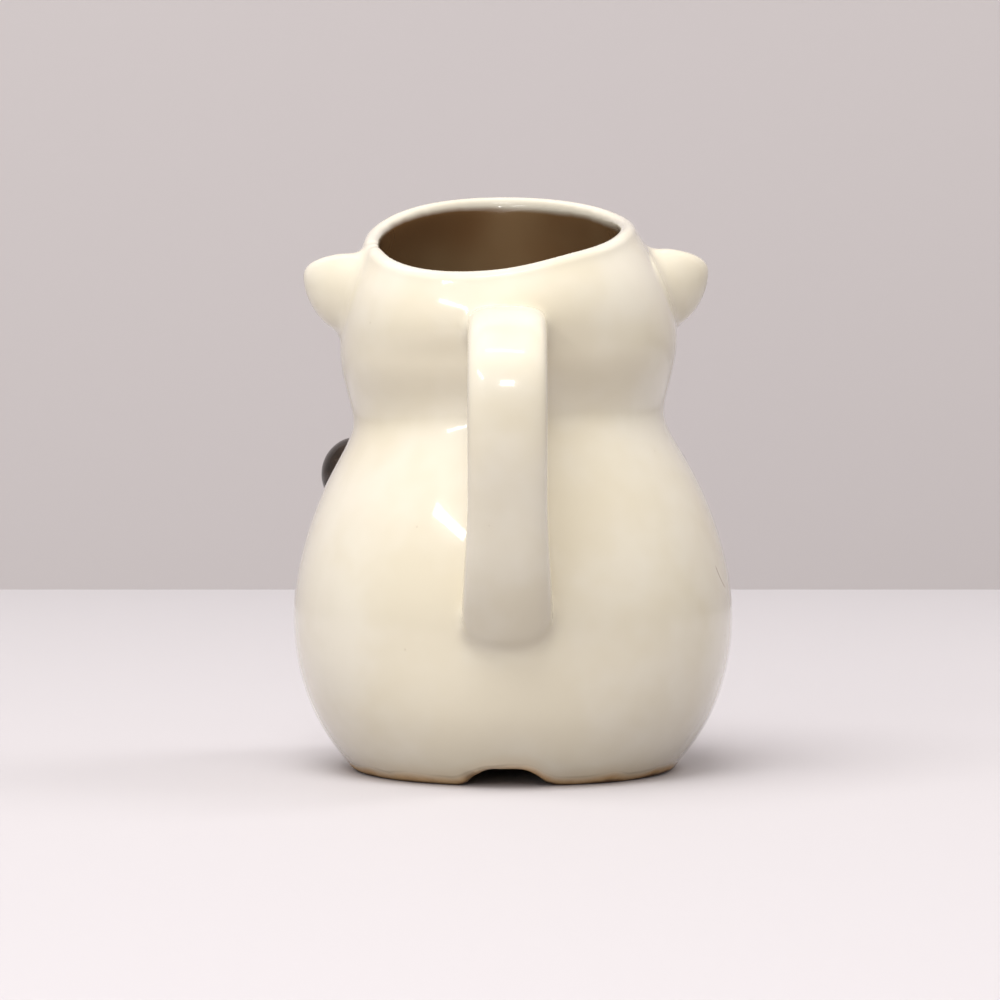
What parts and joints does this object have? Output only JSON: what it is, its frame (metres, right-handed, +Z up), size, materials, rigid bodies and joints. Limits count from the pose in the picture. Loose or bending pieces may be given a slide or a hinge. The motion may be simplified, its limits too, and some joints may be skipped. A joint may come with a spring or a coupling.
{
  "type": "pig creamer",
  "caption": "Slip-cast pig jug with a pear-shaped belly, an open sloping mouth in its head and a strap handle down its back.",
  "frame": {"origin": "the middle of the whole pig's box in plan, on the plane that its foot ring stands on", "axes": "+Z up, -Y the way the pig faces, +Y the handle, +X the pig's left"},
  "size_m": [0.0902, 0.1052, 0.1168],
  "materials": {
    "cream_glaze": "glossy cream glaze",
    "black_glaze": "glossy brown-black glaze"
  },
  "bodies": {
    "root": {"vessel": "cream_glaze", "handle": "cream_glaze", "left_ear": "cream_glaze", "right_ear": "cream_glaze", "snout": "cream_glaze", "left_eye": "black_glaze", "right_eye": "black_glaze", "left_arm": "cream_glaze", "right_arm": "cream_glaze", "left_trotter": "black_glaze", "right_trotter": "black_glaze", "left_foot": "black_glaze", "right_foot": "black_glaze"}
  },
  "joints": []
}
